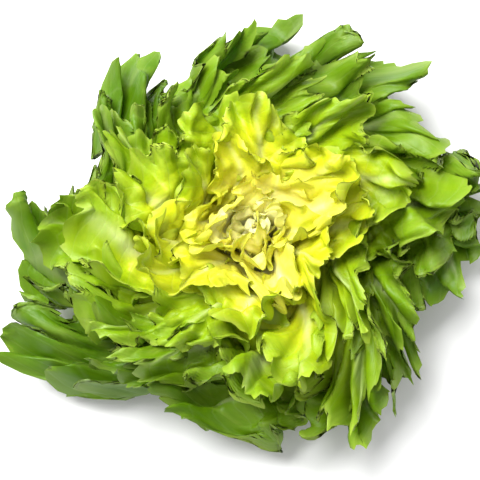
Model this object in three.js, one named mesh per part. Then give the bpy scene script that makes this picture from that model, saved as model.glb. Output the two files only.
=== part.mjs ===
// A head of escarole, cut at the root and set down on its cut face: a short tapering core that carries a
// spiral of broad, wavy leaves. The outermost, oldest leaves lie almost flat and droop to the surface, the
// middle ones arch over, and the youngest stand close together in the heart. Millimetres, +Z up, with the
// origin at the centre of the core's cut face.
import * as THREE from "three";

// Leaves, counted from the outermost inwards. Each one stands a golden angle round from the last.
const LEAF_GROUPS = [
  { name: "outer_leaf", count: 17, color: 0x4f8a1c, roughness: 0.42 },
  { name: "middle_leaf", count: 16, color: 0x7fb02a, roughness: 0.42 },
  { name: "inner_leaf", count: 14, color: 0xb4c93a, roughness: 0.45 },
  { name: "heart_leaf", count: 12, color: 0xe3dc6a, roughness: 0.5 },
];
const LEAF_COUNT = LEAF_GROUPS.reduce((sum, group) => sum + group.count, 0);
const GOLDEN_ANGLE = Math.PI * (3 - Math.sqrt(5));
const FIRST_LEAF_ANGLE = 1.45;
const AGEING = 1.3; // above 1, the older leaves are closer in age than the younger ones

// How a leaf stands at each age, from the youngest, 0, to the oldest, 1. Slopes are in degrees above level.
const STAGES = [
  { age: 0.0, tipRadius: 8, tipHeight: 80, baseSlope: 86, tipSlope: 80, halfWidth: 16 },
  { age: 0.2, tipRadius: 42, tipHeight: 96, baseSlope: 66, tipSlope: 44, halfWidth: 26 },
  { age: 0.4, tipRadius: 85, tipHeight: 96, baseSlope: 52, tipSlope: 22, halfWidth: 34 },
  { age: 0.6, tipRadius: 126, tipHeight: 82, baseSlope: 38, tipSlope: 4, halfWidth: 42 },
  { age: 0.8, tipRadius: 162, tipHeight: 54, baseSlope: 26, tipSlope: -10, halfWidth: 49 },
  { age: 1.0, tipRadius: 189, tipHeight: 20, baseSlope: 14, tipSlope: -16, halfWidth: 54 },
];
const HANDLE_SHARE = 0.42; // of the rib's chord, for both handles of its curve

// The core: a cut stub below, a blunt cone above that the leaves spring from.
const CORE = {
  cutRadius: 17,
  bevel: 1,
  stubHeight: 9,
  shoulderRadius: 25,
  shoulderHeight: 13,
  tipRadius: 4.5,
  tipHeight: 44,
};
const CORE_SIDES = 28;
const BASE_GAP = 3.2; // from the core's skin to the middle of a leaf's foot

// A leaf's outline: a narrow stalk that widens to the blade's full width at BLADE_START, then a round end.
const BLADE_START = 0.5;
const OUTLINE = { stalkShare: 0.16, widen: 1.3 };
const BLADE_THICKNESS = 0.9;
const RIB = { oldest: 2.2, youngest: 0.2, tipShare: 0.1, widthShare: 0.3 };
const RIPPLE = { height: 12, sharpness: 1.4, wander: 0.9, fewest: 5, most: 8 }; // of the blade's margin
const TWIST = 22;
const CUP = 16;
const CURL = 24;
const SWAY = 0.3; // radians to either side, at the tip
const SHORTEST = 0.84;
const HEADING_JITTER = 0.25;
const WIDTH_JITTER = 0.15;
const CORNER = 6; // how squarely the margin is followed round the corners of the rows and columns
const LEAF_ROWS = 10;
const LEAF_COLUMNS = 8;

// The room a leaf has to wave in, measured between the middles of blades.
const LEAST_GAP = 6;
const ROOM_SHARE = 0.42; // less than half, so that two leaves waving towards each other don't meet
const LEAST_ROOM = 0.05;
const OPEN_ROOM = 120; // where no leaf is near
const LEAST_RADIUS = 6; // nearer the axis than this, a blade wraps no tighter
const RIB_SAMPLES = 20;

// How the head has settled: its outline out of round, its leaves pushed about, the lowest on the surface.
const SWIRL = { angle: 0.22, rise: 34, reach: 70 };
const OUT_OF_ROUND = [
  { amount: 0.023, phase: 0.05 },
  { amount: 0.026, phase: 1.2 },
  { amount: 0.094, phase: 2.28 },
  { amount: 0.085, phase: 1.38 },
];
const BILLOW = { height: 8, length: [17, 19], smallHeight: 5, smallLength: [9, 12], fullAt: 110 };
const LEAN = { sideways: 4.5, from: 30, to: 90, rise: [15, 16], across: [19, 18] };
const FLOOR_SOFTNESS = 9; // leaves that come lower than this are eased onto the surface
const FLOOR_CLEARANCE = 0.9;

// A repeatable number from 0 to 1 for each leaf and purpose.
function chance(leaf, purpose) {
  const mixed = Math.sin(leaf * 12.9898 + purpose * 78.233) * 43758.5453;
  return mixed - Math.floor(mixed);
}

function stageAt(age) {
  const upper = Math.max(1, STAGES.findIndex((stage) => stage.age >= age));
  const [a, b] = [STAGES[upper - 1], STAGES[upper]];
  const share = (age - a.age) / (b.age - a.age);
  const mix = (key) => THREE.MathUtils.lerp(a[key], b[key], share);
  return {
    tip: new THREE.Vector2(mix("tipRadius"), mix("tipHeight")),
    baseSlope: THREE.MathUtils.degToRad(mix("baseSlope")),
    tipSlope: THREE.MathUtils.degToRad(mix("tipSlope")),
    halfWidth: mix("halfWidth"),
  };
}

// The rib's curve in the upright plane through the axis: x is the distance from the axis, y the height.
function ribCurve(age, stage) {
  const foot = new THREE.Vector2(
    THREE.MathUtils.lerp(CORE.tipRadius, CORE.shoulderRadius, age) + BASE_GAP,
    THREE.MathUtils.lerp(CORE.tipHeight, CORE.shoulderHeight, age),
  );
  const handle = HANDLE_SHARE * foot.distanceTo(stage.tip);
  const along = (slope) => new THREE.Vector2(Math.cos(slope), Math.sin(slope)).multiplyScalar(handle);
  return new THREE.CubicBezierCurve(
    foot,
    foot.clone().add(along(stage.baseSlope)),
    stage.tip.clone().sub(along(stage.tipSlope)),
    stage.tip,
  );
}

// Half the blade's width, as a share of its widest, at a share of the way along the rib.
function outline(share) {
  const opened = THREE.MathUtils.smoothstep(share / BLADE_START, 0, 1) ** OUTLINE.widen;
  return THREE.MathUtils.lerp(OUTLINE.stalkShare, 1, opened);
}

// Bends the whole rosette: each step slides points along one direction by an amount that depends only on
// the other two, so leaves that don't touch before it don't touch after it.
function settle(p) {
  const radius = Math.hypot(p.x, p.y);
  const angle = Math.atan2(p.y, p.x) + SWIRL.angle * Math.sin(p.z / SWIRL.rise + radius / SWIRL.reach);
  const bulge = ({ amount, phase }, k) => amount * Math.cos((k + 1) * angle - phase);
  const spread = OUT_OF_ROUND.map(bulge).reduce((sum, part) => sum + part, 1);
  p.x = radius * spread * Math.cos(angle);
  p.y = radius * spread * Math.sin(angle);
  const outward = Math.min(1, radius / BILLOW.fullAt) ** 2;
  const billow = Math.sin(p.x / BILLOW.length[0] + 0.4) * Math.sin(p.y / BILLOW.length[1] + 1.9);
  const small = Math.sin(p.x / BILLOW.smallLength[0] + p.y / BILLOW.smallLength[1]);
  p.z += outward * (BILLOW.height * billow + BILLOW.smallHeight * small);
  const upward = THREE.MathUtils.smoothstep(p.z, LEAN.from, LEAN.to);
  p.x += upward * LEAN.sideways * Math.sin(p.z / LEAN.rise[0] + p.y / LEAN.across[0] + 0.7);
  p.y += upward * LEAN.sideways * Math.sin(p.z / LEAN.rise[1] - p.x / LEAN.across[1] + 2.1);
  if (p.z < FLOOR_SOFTNESS) p.z = FLOOR_SOFTNESS * Math.exp((p.z - FLOOR_SOFTNESS) / FLOOR_SOFTNESS);
  p.z += FLOOR_CLEARANCE;
  return p;
}

const leaves = Array.from({ length: LEAF_COUNT }, (_, index) => {
  const age = 1 - (index / (LEAF_COUNT - 1)) ** AGEING;
  const stage = stageAt(age);
  const either = (purpose) => 2 * chance(index, purpose) - 1; // from -1 to 1
  return {
    age,
    rib: ribCurve(age, stage),
    halfWidth: stage.halfWidth * (1 + WIDTH_JITTER * either(8)),
    ribThickness: THREE.MathUtils.lerp(RIB.youngest, RIB.oldest, age),
    heading: FIRST_LEAF_ANGLE + index * GOLDEN_ANGLE + HEADING_JITTER * either(1),
    reach: 1 - (1 - SHORTEST) * chance(index, 2),
    phases: [3, 4].map((purpose) => Math.PI * either(purpose)),
    twist: TWIST * either(5),
    cup: CUP * either(6),
    curl: CURL * either(7),
    sway: SWAY * either(9),
    ripples: THREE.MathUtils.lerp(RIPPLE.fewest, RIPPLE.most, chance(index, 10)),
  };
});
for (const leaf of leaves) {
  leaf.samples = Array.from({ length: RIB_SAMPLES + 1 }, (_, k) => {
    const share = k / RIB_SAMPLES;
    return {
      point: leaf.rib.getPoint(share * leaf.reach),
      heading: leaf.heading + leaf.sway * share ** 2,
      halfWidth: leaf.halfWidth * outline(share),
    };
  });
}

// How far a point on one leaf's resting surface is from the younger leaves above it and the older ones
// below.
function roomAround(leaf, point, angle) {
  const room = { above: OPEN_ROOM, below: OPEN_ROOM };
  for (const other of leaves) {
    if (other === leaf) continue;
    const side = other.age < leaf.age ? "above" : "below";
    for (const sample of other.samples) {
      const turned = angle - sample.heading;
      const turnedLeast = Math.abs(Math.atan2(Math.sin(turned), Math.cos(turned)));
      const sideways = turnedLeast * Math.max(sample.point.x, LEAST_RADIUS);
      const beyond = Math.max(0, sideways - sample.halfWidth);
      room[side] = Math.min(room[side], Math.hypot(point.distanceTo(sample.point), beyond));
    }
  }
  return room;
}

// The middle of a blade at a row, from the foot, 0, to the end, 1, and a column, from -1 to 1. Past
// BLADE_START the square of rows and columns is drawn in to half a disc, so that the end is round.
function bladeMiddle(leaf, row, column) {
  const end = Math.max(0, (row - BLADE_START) / (1 - BLADE_START));
  const share = end > 0 ? BLADE_START + (1 - BLADE_START) * end * Math.sqrt(1 - column ** 2 / 2) : row;
  const across = column * Math.sqrt(1 - end ** 2 / 2);
  const marginal = Math.min(1, (column ** CORNER + end ** CORNER) ** (1 / CORNER));
  const around = Math.atan2(across, 2 * (share - BLADE_START));

  const point = leaf.rib.getPoint(share * leaf.reach);
  const slope = leaf.rib.getTangent(share * leaf.reach).angle();
  const sideways = (across * leaf.halfWidth * outline(row)) / Math.max(point.x, LEAST_RADIUS);
  const angle = leaf.heading + leaf.sway * share ** 2 + sideways;

  const wander = RIPPLE.wander * Math.sin(2 * around + leaf.phases[1]);
  const ripple = Math.sin(leaf.ripples * around + leaf.phases[0] + wander);
  const wish =
    RIPPLE.height * marginal ** RIPPLE.sharpness * ripple * Math.sqrt(share) +
    leaf.twist * across * share +
    leaf.cup * across ** 2 * share +
    leaf.curl * share ** 4;
  const { above, below } = roomAround(leaf, point, angle);
  const room = Math.max(LEAST_ROOM, ROOM_SHARE * ((wish > 0 ? above : below) - LEAST_GAP));
  const lift = room * Math.tanh(wish / room);

  const radius = point.x - lift * Math.sin(slope);
  const height = point.y + lift * Math.cos(slope);
  return settle(new THREE.Vector3(radius * Math.cos(angle), radius * Math.sin(angle), height));
}

// One leaf as a closed skin: an upper and a lower face either side of its middle, joined at the margin.
function leafGeometry(leaf) {
  const columns = Array.from({ length: LEAF_COLUMNS + 1 }, (_, k) => (2 * k) / LEAF_COLUMNS - 1);
  const rows = Array.from({ length: LEAF_ROWS + 1 }, (_, k) => k / LEAF_ROWS);
  const middles = rows.map((row) => columns.map((column) => bladeMiddle(leaf, row, column)));
  const corners = [];
  const upper = middles.map((line) => line.map((middle) => corners.push(middle) - 1));
  const lower = upper.map((line) => [...line]);
  for (let row = 1; row < LEAF_ROWS; row++) {
    for (let column = 1; column < LEAF_COLUMNS; column++) {
      const outwards = middles[row + 1][column].clone().sub(middles[row - 1][column]);
      const sideways = middles[row][column + 1].clone().sub(middles[row][column - 1]);
      const normal = outwards.cross(sideways).normalize();
      const ribbing = Math.exp(-((columns[column] / RIB.widthShare) ** 2));
      const ribHeight = leaf.ribThickness * ribbing * THREE.MathUtils.lerp(1, RIB.tipShare, rows[row]);
      const offset = (distance) => middles[row][column].clone().addScaledVector(normal, distance);
      corners[upper[row][column]] = offset(BLADE_THICKNESS / 2);
      lower[row][column] = corners.push(offset(-BLADE_THICKNESS / 2 - ribHeight)) - 1;
    }
  }

  const faces = [];
  for (let row = 0; row < LEAF_ROWS; row++) {
    for (let column = 0; column < LEAF_COLUMNS; column++) {
      const towardsCorner = row < LEAF_ROWS / 2 === column < LEAF_COLUMNS / 2;
      for (const [grid, facesUp] of [
        [upper, true],
        [lower, false],
      ]) {
        const [a, b] = [grid[row][column], grid[row][column + 1]];
        const [d, c] = [grid[row + 1][column], grid[row + 1][column + 1]];
        const halves = towardsCorner ? [a, d, c, a, c, b] : [a, d, b, b, d, c];
        faces.push(...(facesUp ? halves : halves.reverse()));
      }
    }
  }
  const geometry = new THREE.BufferGeometry().setFromPoints(corners);
  geometry.setIndex(faces);
  geometry.computeVertexNormals();
  return geometry;
}

function coreGeometry() {
  const stubRadius = CORE.cutRadius + CORE.bevel;
  const profile = [
    [0, 0],
    [CORE.cutRadius, 0],
    [stubRadius, CORE.bevel],
    [stubRadius, CORE.stubHeight],
    [CORE.shoulderRadius, CORE.shoulderHeight],
    [CORE.tipRadius, CORE.tipHeight],
    [0, CORE.tipHeight + CORE.bevel],
  ].map(([radius, height]) => new THREE.Vector2(radius, height));
  return new THREE.LatheGeometry(profile, CORE_SIDES).rotateX(Math.PI / 2);
}

const escarole = new THREE.Group();

const coreMaterial = new THREE.MeshStandardMaterial({ color: 0xe9e6bf, roughness: 0.55 });
const core = new THREE.Mesh(coreGeometry(), coreMaterial);
core.name = "core";
escarole.add(core);

let leafIndex = 0;
for (const group of LEAF_GROUPS) {
  const material = new THREE.MeshStandardMaterial({ color: group.color, roughness: group.roughness });
  for (let number = 1; number <= group.count; number++) {
    const leaf = new THREE.Mesh(leafGeometry(leaves[leafIndex]), material);
    leaf.name = `${group.name}_${String(number).padStart(2, "0")}`;
    escarole.add(leaf);
    leafIndex++;
  }
}

export default escarole;
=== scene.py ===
import math

import bpy
import numpy as np
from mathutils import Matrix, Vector


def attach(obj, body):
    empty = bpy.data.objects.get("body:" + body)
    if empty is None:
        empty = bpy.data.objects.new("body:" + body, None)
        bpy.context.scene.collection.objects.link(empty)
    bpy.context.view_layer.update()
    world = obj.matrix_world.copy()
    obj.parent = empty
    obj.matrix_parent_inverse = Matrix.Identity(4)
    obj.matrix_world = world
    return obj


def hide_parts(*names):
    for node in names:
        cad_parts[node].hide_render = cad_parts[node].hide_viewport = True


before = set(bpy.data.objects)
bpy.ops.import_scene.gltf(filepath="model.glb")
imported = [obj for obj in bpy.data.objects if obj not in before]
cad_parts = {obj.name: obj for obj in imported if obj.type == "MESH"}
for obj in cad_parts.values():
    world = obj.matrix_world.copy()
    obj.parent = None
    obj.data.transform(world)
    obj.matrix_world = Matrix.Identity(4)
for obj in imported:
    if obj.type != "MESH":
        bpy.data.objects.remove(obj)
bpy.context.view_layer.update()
millimetre = 0.001
print("frame loaded:", len(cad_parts), "nodes")

# How the leaves stand round the core, nearly as in the CAD. Lengths are in millimetres, slopes in degrees
# above level, and a stage's first number is the leaf's age, from the youngest, 0, to the oldest, 1.
head = {
    "groups": (("outer_leaf", 17), ("middle_leaf", 16), ("inner_leaf", 14), ("heart_leaf", 12)),
    "firstAngle": 1.45,
    "ageing": 1.3,
    "stages": (
        # age, tip radius, tip height, slope at the foot, slope at the tip, half width
        (0.0, 8, 80, 86, 80, 16),
        (0.2, 42, 96, 66, 44, 26),
        (0.4, 85, 96, 52, 22, 34),
        (0.6, 126, 82, 38, 4, 42),
        (0.8, 162, 54, 26, -10, 49),
        (1.0, 189, 20, 14, -16, 54),
    ),
    "handleShare": 0.42,
    "coreTip": (4.5, 44),
    "coreShoulder": (25, 13),
    "baseGap": 3,
    "turnJitter": 0.25,
    "widthJitter": 0.15,
    "shortest": 0.84,
    "twist": 22,
    "cup": 16,
    "curl": 24,
    "sway": 0.3,
    "ribSamples": 20,
    "leastRadius": 6,
}

# The blade's own surface, in millimetres. The slow wave, the lobes, the teeth and the rolled margin are as
# given on a leaf whose half width is usualHalf, and in proportion on the others. Ruffles are shares of the
# room to the next leaf.
blade = {
    "usualHalf": 38,
    "bladeStart": 0.5,
    "stalkShare": 0.16,
    "widen": 1.3,
    "centre": 0.45,
    "grownFrom": (0.04, 0.42),
    "slowWave": (12.0, 1.2, 95),  # height, how fast it fades inwards, length along the margin
    "ruffles": (
        # share of the room, how fast it fades inwards, length along the margin, wander, fold
        (0.72, 1.4, 42, 1.2, 0.8),
        (0.4, 2.6, 20, 1.6, 0.6),
        (0.2, 5.0, 11, 1.6, 0.2),
    ),
    "wanderLengths": (21, 9.3),
    "bend": 1.0,
    "bendTurn": 6,
    "leastLength": 0.85,
    "lengthJitter": 0.3,
    "crumple": 1.6 / 12,
    "crumpleSide": (5.3, 8),
    "crumpleAlong": (6.1, 9),
    "freeLeast": 6.0,
    "freeMost": 10.0,
    "freeOld": 0.6,
    "freeOldFrom": 0.75,
    "dropShare": 0.35,
    "rollUp": 4.0,
    "rollUpOld": 6.0,
    "rollUpOldFrom": 0.8,
    "rollUpFade": 4,
    "lobes": 8.0,
    "lobesOld": 0.7,
    "lobesOldFrom": 0.5,
    "lobeSpacing": 27,
    "lobeWander": (1.5, 13),
    "lobePower": 0.6,
    "lobeFade": 2,
    "teeth": 2.2,
    "toothSpacing": 5.6,
    "toothWander": (0.5, 6.1),
    "toothPower": 1.3,
    "toothFade": 12,
    "growFrom": 10,
    "wanderStart": 6,
    "veinSpacing": 11.0,
    "veinSlant": 0.9,
    "puff": 0.7,
    "puffFade": 8,
    "thickness": 0.7,
    "ribHeight": 2.2,
    "ribHeightYoung": 0.25,
    "ribFade": 0.85,
    "ribWidth": (6.0, 0.8),
    "ribWidthLeast": 0.4,
    "heartAge": 0.1,
    "heartRib": 0.35,
    "greenFoot": 0.72,
    "greenRise": (0.3, 0.95),
    "greenJitter": 0.06,
    "flatUnit": 100,
    "stalkRows": 30,
    "bladeRows": 50,
    "columns": 47,
    "roomRows": 16,
    "roomColumns": 11,
}
goldenAngle = math.pi * (3 - math.sqrt(5))
tiny = 1e-9


# A repeatable number from 0 to 1: the fraction left of a large multiple of a sine.
def chance(leaf, purpose):
    mixed = math.sin(leaf * 12.9898 + purpose * 78.233) * 43758.5453
    return mixed - math.floor(mixed)


def either(leaf, purpose):
    return 2 * chance(leaf, purpose) - 1


# A step from 0 to 1 between low and high that is level at both ends: three times a square less two cubes.
def smooth(low, high, x):
    t = np.clip((x - low) / (high - low), 0, 1)
    return t * t * (3 - 2 * t)


# The rib: a cubic curve in the upright plane through the axis, its points and its directions.
def ribPoint(leaf, t):
    a, b, c, d = leaf["controls"]
    t = np.asarray(t, float)[..., None]
    return (1 - t) ** 3 * a + 3 * (1 - t) ** 2 * t * b + 3 * (1 - t) * t ** 2 * c + t ** 3 * d


def ribDirection(leaf, t):
    a, b, c, d = leaf["controls"]
    t = np.asarray(t, float)[..., None]
    way = (1 - t) ** 2 * (b - a) + 2 * (1 - t) * t * (c - b) + t ** 2 * (d - c)
    return way / np.linalg.norm(way, axis=-1, keepdims=True)


# Half the blade's width as a share of its widest: it widens from the stalk up to the round end.
def outline(row):
    part = np.minimum(row / blade["bladeStart"], 1)
    return blade["stalkShare"] + (1 - blade["stalkShare"]) * smooth(0, 1, part) ** blade["widen"]


# Leaves follow the golden angle from the oldest, outside, to the youngest, and each takes its shape from
# the stages on both sides of its age.
def plantLeaf(index, count):
    age = 1 - (index / (count - 1)) ** head["ageing"]
    stages = np.array(head["stages"], float)
    tipRadius, tipHeight, baseSlope, tipSlope, halfWidth = (
        float(np.interp(age, stages[:, 0], stages[:, column])) for column in range(1, 6)
    )
    core = np.array([head["coreTip"], head["coreShoulder"]], float)
    foot = core[0] + age * (core[1] - core[0]) + (head["baseGap"], 0)
    tip = np.array([tipRadius, tipHeight])
    handle = head["handleShare"] * np.linalg.norm(tip - foot)
    along = [
        handle * np.array([math.cos(math.radians(slope)), math.sin(math.radians(slope))])
        for slope in (baseSlope, tipSlope)
    ]
    leaf = {
        "index": index,
        "age": age,
        "controls": (foot, foot + along[0], tip - along[1], tip),
        "halfWidth": halfWidth * (1 + head["widthJitter"] * either(index, 8)),
        "heading": head["firstAngle"] + index * goldenAngle + head["turnJitter"] * either(index, 1),
        "reach": 1 - (1 - head["shortest"]) * chance(index, 2),
        "twist": head["twist"] * either(index, 5),
        "cup": head["cup"] * either(index, 6),
        "curl": head["curl"] * either(index, 7),
        "sway": head["sway"] * either(index, 9),
    }
    shares = np.linspace(0, 1, head["ribSamples"] + 1)
    leaf["samplePoints"] = ribPoint(leaf, shares * leaf["reach"])
    leaf["sampleWays"] = ribDirection(leaf, shares * leaf["reach"])
    leaf["sampleHeadings"] = leaf["heading"] + leaf["sway"] * shares ** 2
    leaf["sampleWidths"] = leaf["halfWidth"] * outline(shares)
    leaf["length"] = float(np.linalg.norm(np.diff(leaf["samplePoints"], axis=0), axis=1).sum())
    leaf["sampleSteps"] = np.full(len(shares), leaf["length"] / head["ribSamples"])
    return leaf


leafNames = [f"{group}_{n + 1:02d}" for group, count in head["groups"] for n in range(count)]
leaves = [plantLeaf(index, len(leafNames)) for index in range(len(leafNames))]
print("planted", len(leaves), "leaves")


# How much room a blade has between its neighbours: a share of the distance past the least gap, and a
# little more. Being past a neighbour's tip or side counts for more than being above it.
roominess = {
    "share": 0.546,
    "leastGap": 4,
    "spare": 2,
    "least": 0.05,
    "open": 120,
    "pastTip": 2.5,
    "pastSide": 2.0,
}


# The room above and below a leaf's resting surface. It grows with the least distance to the rib samples of
# the younger leaves above, or of the older ones below: the root of the squares of how far a point is from
# the sample across the rib, past its step along the rib, and past its half width sideways.
def roomAround(leaf, points, angles):
    rooms = {}
    sides = (("above", leaves[leaf["index"] + 1:]), ("below", leaves[:leaf["index"]]))
    for side, others in sides:
        nearest = np.full(points.shape[:-1], float(roominess["open"]))
        if others:
            at, ways, headings, widths, steps = (
                np.concatenate([other[key] for other in others])
                for key in ("samplePoints", "sampleWays", "sampleHeadings", "sampleWidths", "sampleSteps")
            )
            apart = points[..., None, :] - at
            across = np.abs(apart[..., 0] * ways[:, 1] - apart[..., 1] * ways[:, 0])
            past = np.abs((apart * ways).sum(-1))
            past = roominess["pastTip"] * np.maximum(0, past - steps / 2)
            turned = np.abs((angles[..., None] - headings + np.pi) % (2 * np.pi) - np.pi)
            sideways = turned * np.maximum(at[:, 0], head["leastRadius"])
            beyond = roominess["pastSide"] * np.maximum(0, sideways - widths)
            nearest = np.minimum(nearest, np.sqrt(across ** 2 + past ** 2 + beyond ** 2).min(-1))
        room = roominess["share"] * (nearest - roominess["leastGap"]) + roominess["spare"]
        rooms[side] = np.maximum(roominess["least"], room)
    return rooms


# How the rosette settles, in millimetres and radians.
settling = {
    "swirl": 0.22,
    "swirlUp": 34,
    "swirlOut": 70,
    # amount and phase, for one lobe to four
    "outOfRound": ((0.023, 0.05), (0.026, 1.2), (0.094, 2.28), (0.085, 1.38)),
    "billowFrom": 110,
    "billow": 8,
    "billowX": (17, 0.4),
    "billowY": (19, 1.9),
    "ripple": 5,
    "rippleXY": (9, 12),
    "leanHeights": (30, 90),
    "lean": 4.5,
    "leanX": (15, 19, 0.7),
    "leanY": (16, 18, 2.1),
    "easeBelow": 9,
    "clearance": 0.9,
    "easeAbove": 97,
    "easeOver": 15,
}


# Bends the whole rosette as it settles: a swirl and an outline that is out of round, from cosines of the
# angle, then a billow and a ripple upwards that grow with the square of the radius, then a lean sideways
# that comes in with height. Each moves points one way by an amount that depends mostly on the other two,
# so leaves that are apart stay apart. Low points are eased onto the surface by an exponential, and high
# ones are eased down by another.
def settle(x, y, z):
    radius = np.hypot(x, y)
    swirl = settling["swirl"] * np.sin(z / settling["swirlUp"] + radius / settling["swirlOut"])
    angle = np.arctan2(y, x) + swirl
    spread = 1
    for turns, (amount, direction) in enumerate(settling["outOfRound"], 1):
        spread = spread + amount * np.cos(turns * angle - direction)
    x = radius * spread * np.cos(angle)
    y = radius * spread * np.sin(angle)

    outward = np.minimum(1, radius / settling["billowFrom"]) ** 2
    lengthX, startX = settling["billowX"]
    lengthY, startY = settling["billowY"]
    billow = settling["billow"] * np.sin(x / lengthX + startX) * np.sin(y / lengthY + startY)
    lengthX, lengthY = settling["rippleXY"]
    z = z + outward * (billow + settling["ripple"] * np.sin(x / lengthX + y / lengthY))

    upward = settling["lean"] * smooth(*settling["leanHeights"], z)
    lengthZ, lengthY, start = settling["leanX"]
    x = x + upward * np.sin(z / lengthZ + y / lengthY + start)
    lengthZ, lengthX, start = settling["leanY"]
    y = y + upward * np.sin(z / lengthZ - x / lengthX + start)

    low = settling["easeBelow"]
    z = np.where(z < low, low * np.exp((z - low) / low), z) + settling["clearance"]
    above = np.maximum(0, z - settling["easeAbove"])
    z = z - above + settling["easeOver"] * (1 - np.exp(-above / settling["easeOver"]))
    return np.stack([x, y, z], -1)


# The grid of a blade: rows from the foot to the round end, columns from one margin to the other. Past
# bladeStart a square of the grid becomes half a disc, so that the end is round.
rowCount = blade["stalkRows"] + blade["bladeRows"]
columnCount = blade["columns"]
stalkRows = rowCount * blade["stalkRows"] // (blade["stalkRows"] + blade["bladeRows"])
rows = np.concatenate([
    np.linspace(0, blade["bladeStart"], stalkRows, endpoint=False),
    np.linspace(blade["bladeStart"], 1, rowCount - stalkRows),
])[:, None]
columns = np.linspace(-1, 1, columnCount)[None, :]
endPart = np.maximum(0, (rows - blade["bladeStart"]) / (1 - blade["bladeStart"]))
gridShare = np.where(
    endPart > 0,
    blade["bladeStart"] + (1 - blade["bladeStart"]) * endPart * np.sqrt(1 - columns ** 2 / 2),
    rows + 0 * columns,
)
gridSide = columns * np.sqrt(1 - endPart ** 2 / 2) * outline(rows)
gridMargin = np.clip(columns ** 6 + endPart ** 6, 0, 1) ** (1 / 6)  # 1 at the margin, less inwards


# Corner numbers of the closed skin: an upper and a lower grid that share their outermost corners.
def skinFaces():
    upper = np.arange(rowCount * columnCount).reshape(rowCount, columnCount)
    lower = upper.copy()
    inside = np.arange((rowCount - 2) * (columnCount - 2)).reshape(rowCount - 2, columnCount - 2)
    lower[1:-1, 1:-1] = rowCount * columnCount + inside
    top, bottom = (
        np.stack([grid[:-1, :-1], grid[:-1, 1:], grid[1:, 1:], grid[1:, :-1]], -1).reshape(-1, 4)
        for grid in (upper, lower)
    )
    return np.concatenate([top[:, ::-1], bottom])


skin = skinFaces()


# Fills the whole grid from coarse rows and columns: each fine one is a weighted pair of coarse ones.
def stretchGrid(coarse, rowsAt, columnsAt):
    fineRows = np.arange(rowCount)
    fineColumns = np.arange(columnCount)
    byRow = np.stack([np.interp(fineRows, rowsAt, column) for column in coarse.T], 1)
    return np.stack([np.interp(fineColumns, columnsAt, row) for row in byRow], 0)


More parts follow.
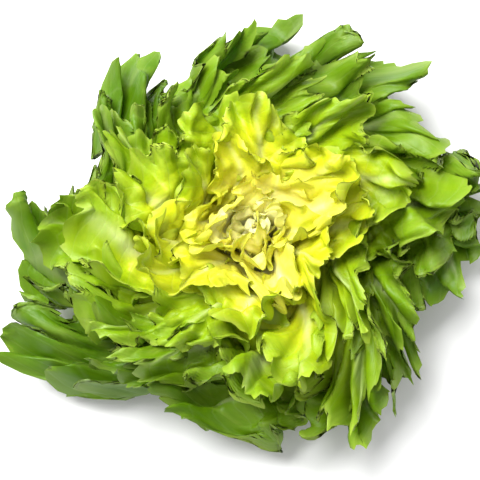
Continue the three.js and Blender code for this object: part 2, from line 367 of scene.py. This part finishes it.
# One blade. The rib's curve carries a flat outline in (sideways, along) millimetres: along gives the place
# on the curve, and sideways becomes a turn round the head's axis. The blade is lifted off that surface by
# a slow wave, its own twist, cup and curl, and puffs between the veins, and a hyperbolic tangent holds
# their sum inside the room to the next leaf. Ruffles are sines of the arc length along the margin, scaled
# to that room, strongest at the margin, and each also slides the blade along the margin by the sine of
# twice its angle, so that a steep ruffle folds over. The face is crumpled by a product of two wandering
# sines, and the margin rolls up by a power of the way out. Lobes and teeth, a power of a sine and of a
# sawtooth's distance from its middle, stretch the outline from its centre.
def shapeLeaf(leaf):
    index, age, length = leaf["index"], leaf["age"], leaf["length"]
    size = leaf["halfWidth"] / blade["usualHalf"]
    side = gridSide * leaf["halfWidth"]
    along = (gridShare - blade["centre"]) * length
    # arc length along the margin from the tip, read off by the direction from the blade's centre
    turned = np.arctan2(side, along)
    edge = [
        np.concatenate([part[-1, columnCount // 2:-1], part[::-1, -1]])
        for part in (side, along, turned)
    ]
    steps = np.hypot(np.diff(edge[0]), np.diff(edge[1]))
    around = np.interp(np.abs(turned), edge[2], np.concatenate([[0], np.cumsum(steps)]))
    around = np.sign(turned) * around
    grown = smooth(*blade["grownFrom"], gridShare)

    height, fade, spacing = blade["slowWave"]
    turn = 2 * math.pi * around / spacing + math.pi * either(index, 20)
    lift = height * size * grown * gridMargin ** fade * np.sin(turn)
    lift += leaf["twist"] * columns * gridShare
    lift += leaf["cup"] * columns ** 2 * gridShare
    lift += leaf["curl"] * gridShare ** 4

    frill = np.zeros_like(side)
    slide = np.zeros_like(side)
    slowLength, fastLength = blade["wanderLengths"]
    for ruffle, (height, fade, spacing, wander, fold) in enumerate(blade["ruffles"], 1):
        drift = wander * np.sin(around / slowLength + math.pi * either(index, 30 + ruffle))
        drift += wander / 2 * np.sin(around / fastLength + math.pi * either(index, 40 + ruffle))
        bendStart = math.pi * either(index, 45 + ruffle)
        drift += blade["bend"] * np.sin(blade["bendTurn"] * gridMargin + bendStart)
        spacing *= blade["leastLength"] + blade["lengthJitter"] * chance(index, 50 + ruffle)
        turn = 2 * math.pi * around / spacing + math.pi * either(index, 20 + ruffle) + drift
        tall = grown * gridMargin ** fade
        frill += height * tall * np.sin(turn)
        slide -= fold * tall * spacing / (4 * math.pi) * np.sin(2 * turn)
    short, long = blade["crumpleSide"]
    crumple = np.sin(side / short + 2 * np.sin(along / long))
    short, long = blade["crumpleAlong"]
    crumple = crumple * np.sin(along / short + 2 * np.sin(side / long + index))
    frill += blade["crumple"] * grown * crumple

    # lobes are arches between narrow notches, and teeth are small points
    amount, spacing = blade["lobeWander"]
    lobeTurn = 2 * math.pi * around / blade["lobeSpacing"]
    lobeTurn += amount * np.sin(around / spacing + blade["wanderStart"] * chance(index, 62))
    lobe = np.abs(np.sin(lobeTurn / 2)) ** blade["lobePower"] - blade["lobePower"]
    amount, spacing = blade["toothWander"]
    toothTurn = around / blade["toothSpacing"]
    toothTurn += amount * np.sin(around / spacing + blade["wanderStart"] * chance(index, 63))
    tooth = 1 - 4 * np.abs(toothTurn % 1 - 0.5) ** blade["toothPower"]
    lobeDepth = blade["lobes"] * (1 + blade["lobesOld"] * smooth(blade["lobesOldFrom"], 1, age))
    grow = lobeDepth * lobe * gridMargin ** blade["lobeFade"]
    grow += blade["teeth"] * tooth * gridMargin ** blade["toothFade"]
    reachOut = np.hypot(side, along)
    grow = 1 + grown * size * outline(rows) * grow / (reachOut + blade["growFrom"])
    side, along = side * grow, along * grow
    side = side + slide * along / (reachOut + tiny)
    along = along - slide * side / (reachOut + tiny)

    veinTurn = (along - blade["veinSlant"] * np.abs(side)) / blade["veinSpacing"]
    puff = np.abs(np.sin(math.pi * veinTurn)) * (1 - gridMargin ** blade["puffFade"])
    lift += blade["puff"] * grown * puff

    share = along / length + blade["centre"]
    point = ribPoint(leaf, share * leaf["reach"])
    way = ribDirection(leaf, share * leaf["reach"])
    angle = leaf["heading"] + leaf["sway"] * share ** 2
    angle += side / np.maximum(point[..., 0], head["leastRadius"])

    rowsAt = np.unique(np.linspace(0, rowCount - 1, blade["roomRows"]).astype(int))
    columnsAt = np.unique(np.linspace(0, columnCount - 1, blade["roomColumns"]).astype(int))
    coarse = np.ix_(rowsAt, columnsAt)
    rooms = roomAround(leaf, point[coarse], angle[coarse])
    rooms["below"] = np.minimum(rooms["below"], blade["dropShare"] * point[coarse][..., 1])
    above = stretchGrid(rooms["above"], rowsAt, columnsAt)
    below = stretchGrid(rooms["below"], rowsAt, columnsAt)
    room = np.where(lift > 0, above, below)
    most = blade["freeMost"] * (1 + blade["freeOld"] * smooth(blade["freeOldFrom"], 1, age))
    free = np.minimum(np.where(frill > 0, above, below), most) + blade["freeLeast"] * min(1, size)
    lift = room * np.tanh(lift / room) + free * frill
    rollUp = blade["rollUp"] + blade["rollUpOld"] * smooth(blade["rollUpOldFrom"], 1, age)
    lift += rollUp * size * grown * gridMargin ** blade["rollUpFade"]

    radius = point[..., 0] - lift * way[..., 1]
    height = point[..., 1] + lift * way[..., 0]
    middle = settle(radius * np.cos(angle), radius * np.sin(angle), height)
    normal = np.cross(np.gradient(middle, axis=0), np.gradient(middle, axis=1))
    normal /= np.linalg.norm(normal, axis=-1, keepdims=True) + tiny

    # the rib stands out underneath as a bell curve across the blade, and runs out towards the tip
    ribWidth = np.interp(share, [0, 1], blade["ribWidth"])
    ribWidth = ribWidth * (blade["ribWidthLeast"] + (1 - blade["ribWidthLeast"]) * size)
    ribbing = np.exp(-((side / ribWidth) ** 2))
    ribHeight = blade["ribHeight"] * (blade["ribHeightYoung"] + (1 - blade["ribHeightYoung"]) * age)
    ribHeight = ribHeight * ribbing * (1 - blade["ribFade"] * smooth(0, 1, share))
    if age < blade["heartAge"]:  # the heart's leaves are too close for a whole rib
        ribHeight = np.minimum(ribHeight, blade["heartRib"] * rooms["below"].min())
    half = blade["thickness"] / 2
    green = blade["greenFoot"] + (1 - blade["greenFoot"]) * smooth(*blade["greenRise"], share)
    shade = {
        "along": share,
        "rib": ribbing,
        "margin": gridMargin + 0 * side,
        "green": age * green + blade["greenJitter"] * either(index, 70),
        "veins": veinTurn,
    }
    return middle, normal, half, -(half + ribHeight), side, along, shade


# Puts whole arrays into a mesh: quads with their own normals, one number a corner for each attribute, and
# flat coordinates for the patterns that follow the blade.
def skinPiece(name, corners, faces, normals, floats, flatCoordinates, material):
    mesh = bpy.data.meshes.new(name)
    mesh.vertices.add(len(corners))
    mesh.vertices.foreach_set("co", (corners * millimetre).astype(np.float32).ravel())
    mesh.loops.add(faces.size)
    mesh.loops.foreach_set("vertex_index", faces.astype(np.int32).ravel())
    mesh.polygons.add(len(faces))
    mesh.polygons.foreach_set("loop_start", np.arange(0, faces.size, 4, dtype=np.int32))
    mesh.polygons.foreach_set("use_smooth", np.ones(len(faces), bool))
    mesh.update(calc_edges=True)
    mesh.normals_split_custom_set(normals)
    for key, values in floats.items():
        layer = mesh.attributes.new(key, "FLOAT", "POINT")
        layer.data.foreach_set("value", values.astype(np.float32).ravel())
    layer = mesh.uv_layers.new(name="UVMap")
    layer.data.foreach_set("uv", flatCoordinates[faces.ravel()].astype(np.float32).ravel())
    mesh.materials.append(material)
    piece = bpy.data.objects.new(name, mesh)
    bpy.context.scene.collection.objects.link(piece)
    return piece


# One socket of a shader, so that sums on it read as Python.
class Amount:
    def __init__(self, recipe, socket):
        self.recipe = recipe
        self.socket = socket

    def work(self, operation, *values):
        return self.recipe.node("ShaderNodeMath", {"operation": operation}, dict(enumerate(values)))

    def __add__(self, other):
        return self.work("ADD", self, other)

    def __radd__(self, other):
        return self.work("ADD", other, self)

    def __sub__(self, other):
        return self.work("SUBTRACT", self, other)

    def __rsub__(self, other):
        return self.work("SUBTRACT", other, self)

    def __mul__(self, other):
        return self.work("MULTIPLY", self, other)

    def __rmul__(self, other):
        return self.work("MULTIPLY", other, self)


# A material in the making. Every node comes from the method node, straight or through the ones after it.
class Recipe:
    def __init__(self, name):
        self.material = bpy.data.materials.new(name)
        self.material.use_nodes = True
        self.tree = self.material.node_tree
        self.tree.nodes.clear()

    def node(self, kind, settings=None, sockets=None, output=0):
        made = self.tree.nodes.new(kind)
        for key, value in (settings or {}).items():
            if key == "stops":
                ramp = made.color_ramp
                while len(ramp.elements) < len(value):
                    ramp.elements.new(1)
                for stop, (place, color) in zip(ramp.elements, value):
                    stop.position, stop.color = place, color
            else:
                setattr(made, key, value)
        for key, value in (sockets or {}).items():
            if isinstance(value, Amount):
                self.tree.links.new(value.socket, made.inputs[key])
            else:
                made.inputs[key].default_value = value
        return Amount(self, made.outputs[output]) if len(made.outputs) else None

    def attribute(self, name):
        return self.node("ShaderNodeAttribute", {"attribute_name": name}, output="Fac")

    def maths(self, operation, value):
        return self.node("ShaderNodeMath", {"operation": operation}, {0: value})

    def noise(self, place, scale, detail, distortion=0.0):
        sockets = {"Vector": place, "Scale": scale, "Detail": detail, "Distortion": distortion}
        return self.node("ShaderNodeTexNoise", {}, sockets)

    def between(self, value, low, high):  # 0 at low, 1 at high, and held there
        return self.node("ShaderNodeMapRange", {}, {0: value, 1: low, 2: high, 3: 0.0, 4: 1.0})

    def blend(self, share, first, second):
        settings = {"data_type": "RGBA", "clamp_factor": True}
        return self.node("ShaderNodeMix", settings, {0: share, 6: first, 7: second}, output=2)

    def mixShaders(self, share, first, second):
        return self.node("ShaderNodeMixShader", {}, {0: share, 1: first, 2: second})

    def bump(self, strength, distance, relief):
        sockets = {"Strength": strength, "Distance": distance, "Height": relief}
        return self.node("ShaderNodeBump", {}, sockets, output="Normal")

    def finish(self, shader):
        self.node("ShaderNodeOutputMaterial", {}, {"Surface": shader})
        return self.material


# Screen colours from 0 to 255, made linear by the usual two-part curve.
def paint(red, green, blue):
    parts = [c / 255 for c in (red, green, blue)]
    return tuple(c / 12.92 if c <= 0.04045 else ((c + 0.055) / 1.055) ** 2.4 for c in parts) + (1.0,)


leafPaint = {
    "ages": (
        (0.00, paint(255, 252, 190)),
        (0.20, paint(250, 243, 96)),
        (0.36, paint(212, 216, 30)),
        (0.52, paint(160, 186, 14)),
        (0.70, paint(126, 162, 8)),
        (1.00, paint(84, 124, 4)),
    ),
    "rib": paint(238, 240, 196),
    # this colour is painted sheen: whitish light laid into the leaf's colour in spots and along the margin
    "paintedSheen": paint(214, 230, 110),
    "stalk": paint(244, 243, 214),
    "patches": (34.0, 3.0),  # scale and detail
    "patchTone": 0.22,
    "fine": (22.0, 4.0),
    "fineTone": 0.12,
    "marginTone": 0.1,
    "marginMiddle": 0.6,
    "spots": (5.5, 3.0, 0.6),  # scale, detail and distortion
    # where the spots of painted sheen start and how strong they are, then the painted highlight along the
    # margin, and how much less of both the greener leaves get
    "paintedSheenFrom": (0.48, 0.68),
    "paintedSheenShare": 0.28,
    "edgeHighlightFrom": (0.9, 1.0),
    "edgeHighlightShare": 0.25,
    "paintedSheenLostToGreen": 0.6,
    "veinFrom": (0.86, 1.0),
    "veinShare": 0.03,
    "ribShare": 0.7,
    "ribLostAlong": 0.8,
    "stalkFrom": (0.42, 0.1),
    "stalkShare": 0.85,
    "cellScale": 24.0,
    "blisters": (9.0, 1.0),
    "reliefShares": (0.3, 0.25, 0.1, 1.6),  # cells, fine grain, sunk veins, blisters
    "reliefStrength": 0.6,
    "reliefDepth": 0.0016,
    "roughness": 0.46,
    "roughnessSpread": 0.25,
    "specular": 0.35,
    "subsurface": 0.12,
    "subsurfaceColors": (0.5, 1.0, 0.15),
    "subsurfaceDepth": 0.003,
    "throughShare": 0.22,
}


# A leaf's colour goes by age from pale to dark, changed by patches, and paler layers are laid over it: side
# veins, the rib, the stalk, then painted sheen in spots and a painted highlight at the margin. Light that
# comes through the blade has the same colours. Each shader for it has one plain colour, and the same shares
# mix them.
def leafMaterial():
    r = Recipe("escarole leaf")
    place = r.node("ShaderNodeTexCoord", output="Object")
    flat = r.node("ShaderNodeUVMap", {"uv_map": "UVMap"})
    green, rib, along, margin, veins = (
        r.attribute(key) for key in ("green", "rib", "along", "margin", "veins")
    )
    patches = r.noise(place, *leafPaint["patches"])
    spots = r.noise(flat, *leafPaint["spots"])
    fine = r.noise(flat, *leafPaint["fine"])
    tone = green + (patches - 0.5) * leafPaint["patchTone"] + (fine - 0.5) * leafPaint["fineTone"]
    tone = tone + (margin - leafPaint["marginMiddle"]) * leafPaint["marginTone"]

    beat = veins - r.maths("FLOOR", veins)
    veinLine = r.between(r.maths("ABSOLUTE", beat - 0.5) * 2, *leafPaint["veinFrom"])
    foot = r.between(along, *leafPaint["stalkFrom"])
    # painted sheen in whitish spots, and a painted highlight along the margin
    pale = r.between(spots, *leafPaint["paintedSheenFrom"]) * leafPaint["paintedSheenShare"]
    edge = r.between(margin, *leafPaint["edgeHighlightFrom"]) * leafPaint["edgeHighlightShare"]
    layers = (
        (veinLine * leafPaint["veinShare"], leafPaint["rib"]),
        (rib * (1 - along * leafPaint["ribLostAlong"]) * leafPaint["ribShare"], leafPaint["rib"]),
        (foot * leafPaint["stalkShare"], leafPaint["stalk"]),
        # the last layer is the painted sheen and margin highlight, not a colour of the leaf
        ((pale + edge) * (1 - green * leafPaint["paintedSheenLostToGreen"]), leafPaint["paintedSheen"]),
    )
    color = r.node("ShaderNodeValToRGB", {"stops": leafPaint["ages"]}, {0: tone})
    for share, over in layers:
        color = r.blend(share, color, over)

    sockets = {"Vector": flat, "Scale": leafPaint["cellScale"]}
    cells = r.node("ShaderNodeTexVoronoi", {"feature": "DISTANCE_TO_EDGE"}, sockets)
    blister = r.noise(flat, *leafPaint["blisters"])
    byCells, byFine, byVeins, byBlisters = leafPaint["reliefShares"]
    relief = cells * byCells + fine * byFine - veinLine * byVeins + blister * byBlisters
    bump = r.bump(leafPaint["reliefStrength"], leafPaint["reliefDepth"], relief)
    body = r.node("ShaderNodeBsdfPrincipled", {}, {
        "Base Color": color,
        "Roughness": leafPaint["roughness"] + (fine - 0.5) * leafPaint["roughnessSpread"],
        "Normal": bump,
        "Specular IOR Level": leafPaint["specular"],
        "Subsurface Weight": leafPaint["subsurface"],
        "Subsurface Radius": leafPaint["subsurfaceColors"],
        "Subsurface Scale": leafPaint["subsurfaceDepth"],
    })

    def through(color):
        return r.node("ShaderNodeBsdfTranslucent", {}, {"Color": color, "Normal": bump})

    ages = leafPaint["ages"]
    glow = through(ages[0][1])
    for (low, _), (high, older) in zip(ages, ages[1:]):
        glow = r.mixShaders(r.between(tone, low, high), glow, through(older))
    # the painted sheen and margin highlight are laid into the light through the blade as well
    for share, over in layers:
        glow = r.mixShaders(share, glow, through(over))
    return r.finish(r.mixShaders(leafPaint["throughShare"], body, glow))


escaroleLeaf = leafMaterial()
inner = (slice(1, -1), slice(1, -1))
for leaf, name in zip(leaves, leafNames):
    middle, normal, half, lower, side, along, shade = shapeLeaf(leaf)
    upper = middle.copy()
    upper[inner] += normal[inner] * half
    lower = middle[inner] + normal[inner] * lower[inner][..., None]
    corners = np.concatenate([upper.reshape(-1, 3), lower.reshape(-1, 3)])
    # each face keeps its own normal right up to the margin, so that the thin edge stays bright
    facing = np.concatenate([normal.reshape(-1, 3), normal[inner].reshape(-1, 3)])[skin.ravel()]
    facing[facing.shape[0] // 2:] *= -1
    floats = {key: np.concatenate([v.ravel(), v[inner].ravel()]) for key, v in shade.items()}
    flat = np.stack([side, along], -1) / blade["flatUnit"]
    flat = np.concatenate([flat.reshape(-1, 2), flat[inner].reshape(-1, 2)])
    piece = skinPiece(name + "_blade", corners, skin, facing, floats, flat, escaroleLeaf)
    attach(piece, "root")
    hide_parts(name)
print("leaves shaped:", len(leaves), "with", 2 * len(skin), "triangles each")


# The core carries over from the CAD. It is pale and streaked lengthways, and its cut face has a ring of
# darker vessels and dried specks.
corePaint = {
    "flesh": paint(232, 230, 190),
    "vessel": paint(176, 160, 96),
    "dried": paint(150, 112, 58),
    "ring": 0.0115,
    "ringWidth": 0.0022,
    "cutFrom": (0.0012, 0.0002),
    "grain": (260.0, 4.0),  # scale and detail
    "streaks": (300.0, 3.0),
    "streakStretch": (1, 1, 0.12),
    "streakShare": 0.6,
    "ringShare": 0.7,
    "driedShare": 0.6,
    "reliefShares": (0.4, 0.6, 0.5),  # grain, streaks, ring
    "reliefStrength": 0.5,
    "reliefDepth": 0.0006,
    "roughness": 0.55,
    "roughnessSpread": 0.3,
    "subsurface": 0.1,
    "subsurfaceColors": (1.0, 0.8, 0.3),
    "subsurfaceDepth": 0.003,
}


def coreMaterial():
    r = Recipe("escarole core")
    place = r.node("ShaderNodeTexCoord", output="Object")
    x, y, z = (r.node("ShaderNodeSeparateXYZ", {}, {0: place}, output=k) for k in range(3))
    radius = r.maths("SQRT", x * x + y * y)
    grain = r.noise(place, *corePaint["grain"])
    stretched = r.node("ShaderNodeMapping", {}, {"Vector": place, "Scale": corePaint["streakStretch"]})
    streaks = r.noise(stretched, *corePaint["streaks"])
    ring = r.between(r.maths("ABSOLUTE", radius - corePaint["ring"]), corePaint["ringWidth"], 0.0)
    cut = r.between(z, *corePaint["cutFrom"])
    color = r.blend(streaks * corePaint["streakShare"], corePaint["flesh"], corePaint["vessel"])
    color = r.blend(cut * ring * corePaint["ringShare"], color, corePaint["vessel"])
    color = r.blend(cut * grain * corePaint["driedShare"], color, corePaint["dried"])
    byGrain, byStreaks, byRing = corePaint["reliefShares"]
    relief = grain * byGrain + streaks * byStreaks + ring * byRing
    body = r.node("ShaderNodeBsdfPrincipled", {}, {
        "Base Color": color,
        "Roughness": corePaint["roughness"] + (grain - 0.5) * corePaint["roughnessSpread"],
        "Normal": r.bump(corePaint["reliefStrength"], corePaint["reliefDepth"], relief),
        "Subsurface Weight": corePaint["subsurface"],
        "Subsurface Radius": corePaint["subsurfaceColors"],
        "Subsurface Scale": corePaint["subsurfaceDepth"],
    })
    return r.finish(body)


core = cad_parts["core"]
core.data.materials.clear()
core.data.materials.append(coreMaterial())
print("core painted")

studio = {
    "floorTone": 0.86,
    "floorRoughness": 0.9,
    "floorHalf": 4.0,
    "worldTone": 0.72,
    "window": ((-0.48, 0.42, 1.1), 36, 0.9),  # place, watts, size
    "lightAim": (0, 0, 0.05),
    "elevation": 76,
    "distance": 1.1,
    "target": (-0.0105, 0.0, 0.045),
    "span": 0.365,
    "sensor": 36,
}
scene = bpy.context.scene


def studioFloor():
    r = Recipe("pale floor")
    tone = studio["floorTone"]
    sockets = {"Base Color": (tone, tone, tone, 1), "Roughness": studio["floorRoughness"]}
    half = studio["floorHalf"]
    corners = [(-half, -half, 0), (half, -half, 0), (half, half, 0), (-half, half, 0)]
    mesh = bpy.data.meshes.new("floor")
    mesh.from_pydata(corners, [], [(0, 1, 2, 3)])
    mesh.materials.append(r.finish(r.node("ShaderNodeBsdfPrincipled", {}, sockets)))
    floor = bpy.data.objects.new("floor", mesh)
    scene.collection.objects.link(floor)


def softLight(name, place, energy, size):
    lamp = bpy.data.lights.new(name, "AREA")
    lamp.energy = energy
    lamp.size = size
    holder = bpy.data.objects.new(name, lamp)
    scene.collection.objects.link(holder)
    holder.location = place
    holder.rotation_mode = "QUATERNION"
    holder.rotation_quaternion = (Vector(studio["lightAim"]) - Vector(place)).to_track_quat("-Z", "Y")


studioFloor()
scene.view_settings.view_transform = "Standard"
world = bpy.data.worlds.new("studio air")
scene.world = world
world.use_nodes = True
air = world.node_tree.nodes["Background"]
air.inputs["Color"].default_value = (1, 1, 1, 1)
air.inputs["Strength"].default_value = studio["worldTone"]
softLight("window", *studio["window"])

camera = bpy.data.cameras.new("camera")
cameraHolder = bpy.data.objects.new("camera", camera)
scene.collection.objects.link(cameraHolder)
scene.camera = cameraHolder
tilt = math.radians(studio["elevation"])
back = Vector((0, -math.cos(tilt), math.sin(tilt)))
cameraHolder.location = Vector(studio["target"]) + studio["distance"] * back
cameraHolder.rotation_mode = "QUATERNION"
cameraHolder.rotation_quaternion = (-back).to_track_quat("-Z", "Y")
camera.sensor_width = studio["sensor"]
camera.lens = studio["sensor"] * studio["distance"] / studio["span"]
print("studio set")
